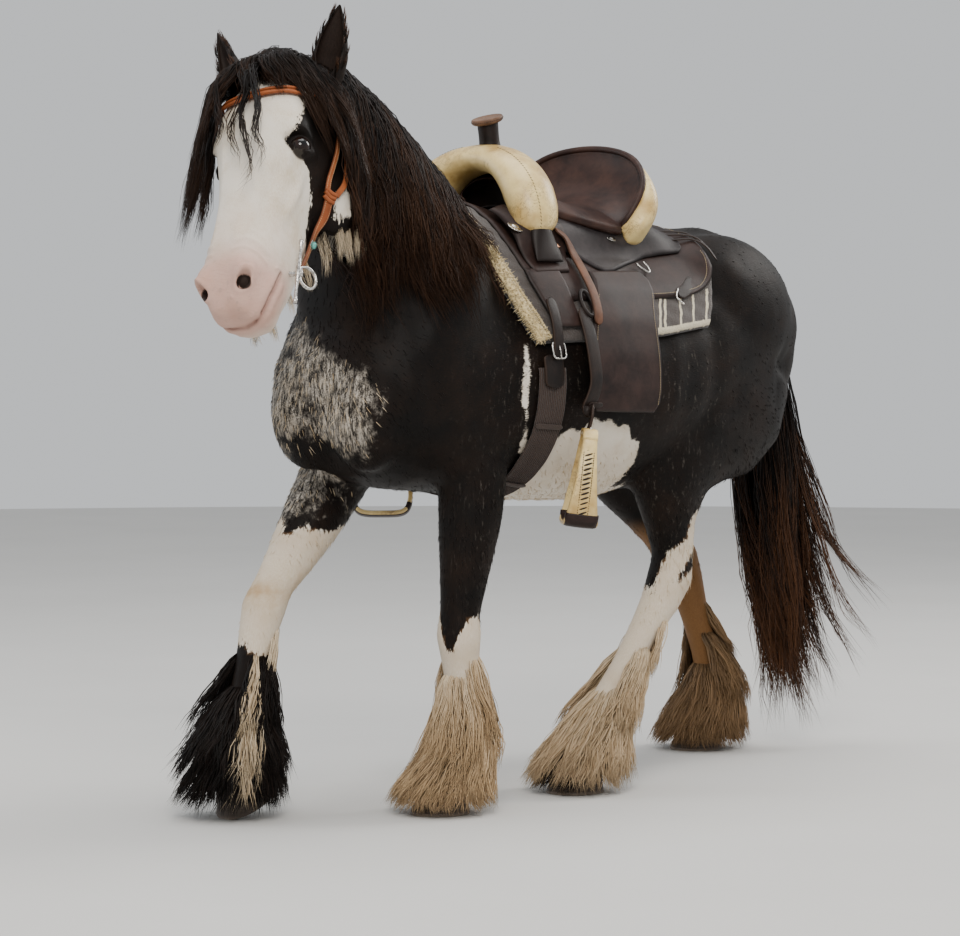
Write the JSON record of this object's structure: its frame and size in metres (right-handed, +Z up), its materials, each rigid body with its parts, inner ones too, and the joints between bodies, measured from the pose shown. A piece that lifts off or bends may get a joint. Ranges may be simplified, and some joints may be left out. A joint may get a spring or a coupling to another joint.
{
  "type": "irish cob",
  "caption": "Life-size heavy feathered cob horse at a slow trot, standing still, in a western saddle with pad, cinch and stirrups and a headstall with bit.",
  "frame": {"origin": "middle of the bounding box on the floor under the horse", "axes": "the horse faces -Y, its left side is +X, +Z is up from the floor"},
  "size_m": [0.8676, 2.636, 1.92],
  "materials": {
    "steel": "polished steel",
    "cinch_web": "dark brown webbing",
    "coat_dark": "short dark brown-black coat",
    "eye_dark": "wet dark eye",
    "saddle_leather": "dark brown oiled saddle leather",
    "coat_white": "short white and cream coat with long feather",
    "headstall_leather": "tan orange leather",
    "hoof_horn": "dark hoof horn, slightly worn",
    "hair_black": "long black hair, rust brown towards the ends of the tail",
    "rawhide": "cream rawhide, laced, satin",
    "fleece": "golden cream fleece"
  },
  "bodies": {
    "root": {"bit_left": "steel", "bit_right": "steel", "cinch": "cinch_web", "ear_left": "coat_dark", "ear_right": "coat_dark", "eye_left": "eye_dark", "eye_right": "eye_dark", "fender_left": "saddle_leather", "fender_right": "saddle_leather", "fore_cannon_left": "coat_white", "fore_cannon_right": "coat_dark", "fore_leg_left": "coat_dark", "fore_leg_right": "coat_dark", "head": "coat_white", "headstall": "headstall_leather", "hind_cannon_left": "coat_white", "hind_cannon_right": "coat_white", "hind_leg_left": "coat_dark", "hind_leg_right": "coat_dark", "hoof_fore_left": "hoof_horn", "hoof_fore_right": "hoof_horn", "hoof_hind_left": "hoof_horn", "hoof_hind_right": "hoof_horn", "latigo_left": "saddle_leather", "latigo_right": "saddle_leather", "neck": "hair_black", "saddle_cantle": "rawhide", "saddle_fork": "rawhide", "saddle_horn": "saddle_leather", "saddle_pad": "fleece", "saddle_seat": "saddle_leather", "saddle_skirt": "saddle_leather", "seat_jockey": "saddle_leather", "stirrup_leather_left": "saddle_leather", "stirrup_leather_right": "saddle_leather", "stirrup_left": "rawhide", "stirrup_right": "rawhide", "tail": "hair_black", "throatlatch": "headstall_leather", "torso": "coat_dark"}
  },
  "joints": []
}
